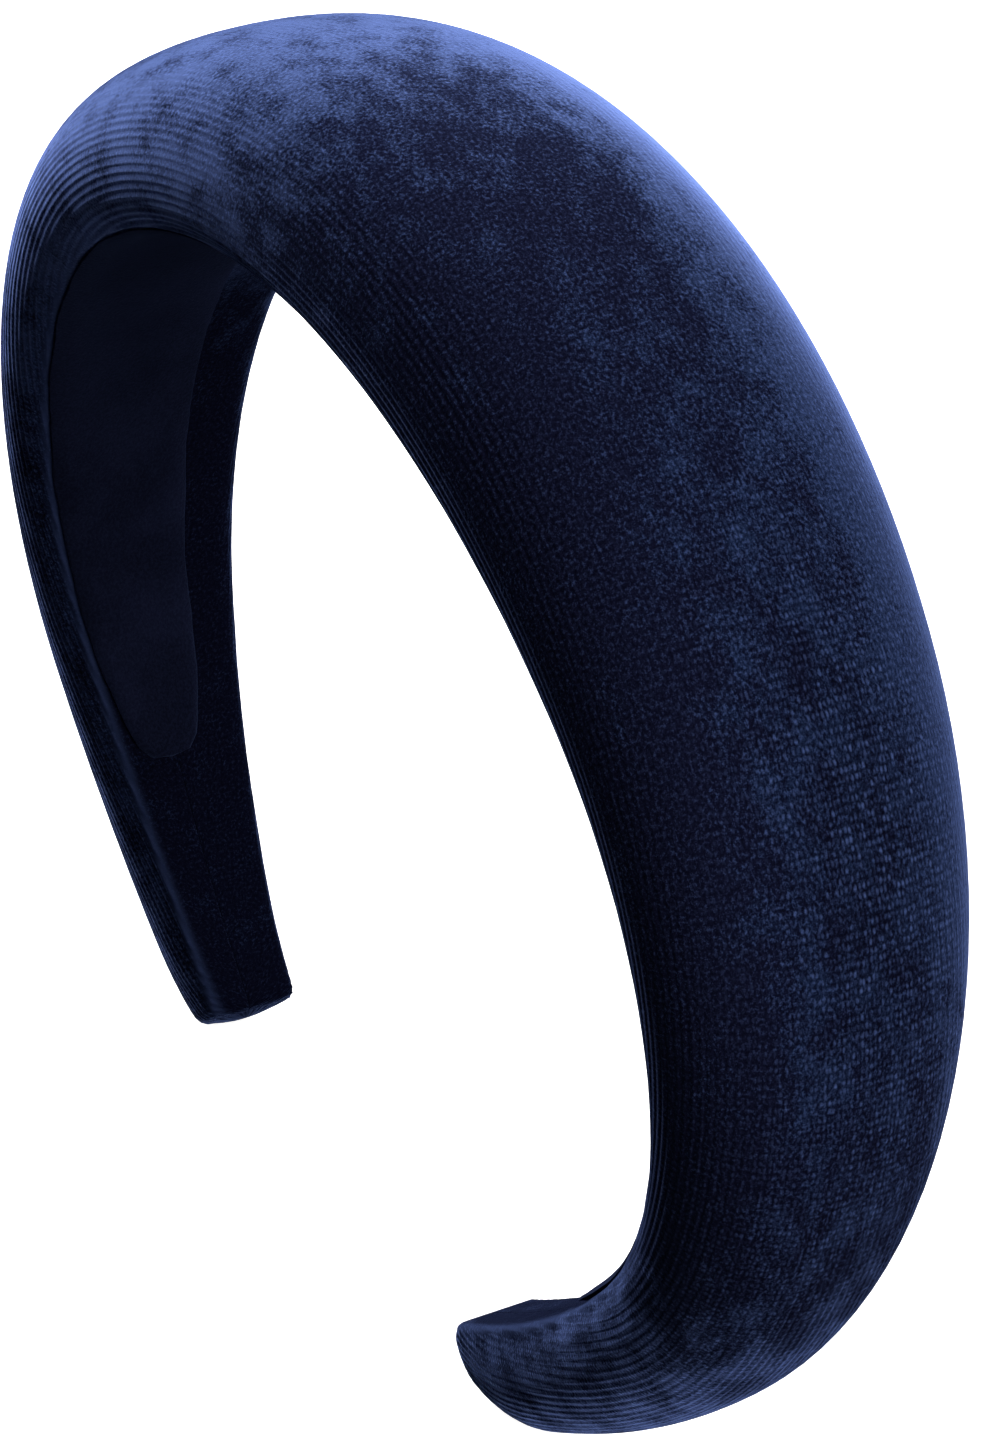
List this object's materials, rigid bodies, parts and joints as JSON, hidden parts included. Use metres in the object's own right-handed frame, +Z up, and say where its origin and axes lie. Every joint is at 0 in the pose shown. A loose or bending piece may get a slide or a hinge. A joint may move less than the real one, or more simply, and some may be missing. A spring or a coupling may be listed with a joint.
{
  "type": "padded headband",
  "caption": "Padded headband: a springy open hoop with a wide domed crown, tapering to two blunt in-curved tips, covered in deep navy velvet, with a cloth lining strip inside.",
  "frame": {"origin": "centre of the bottom of the bounding box, with the band standing on its two tips", "axes": "+X from the wearer's right tip to the left tip, -Y the front edge of the band, +Z up towards the crown"},
  "size_m": [0.1602, 0.0434, 0.139],
  "materials": {
    "velvet": "deep navy stretch velvet, fine lengthwise wales, soft sheen and crushed patches",
    "lining_cloth": "dark navy brushed woven lining, matte",
    "foam": "off-white soft open-cell foam",
    "adhesive_film": "thin translucent double-sided adhesive film",
    "core_plastic": "dark moulded springy plastic",
    "hot_glue": "milky hot-melt glue bead"
  },
  "bodies": {
    "root": {"velvet_cover": "velvet", "foam_pad": "foam", "foam_tape": "adhesive_film", "band_core": "core_plastic", "front_hem_glue": "hot_glue", "back_hem_glue": "hot_glue", "tip_glue_left": "hot_glue", "tip_glue_right": "hot_glue", "lining_tape": "adhesive_film", "inner_lining": "lining_cloth"}
  },
  "joints": []
}
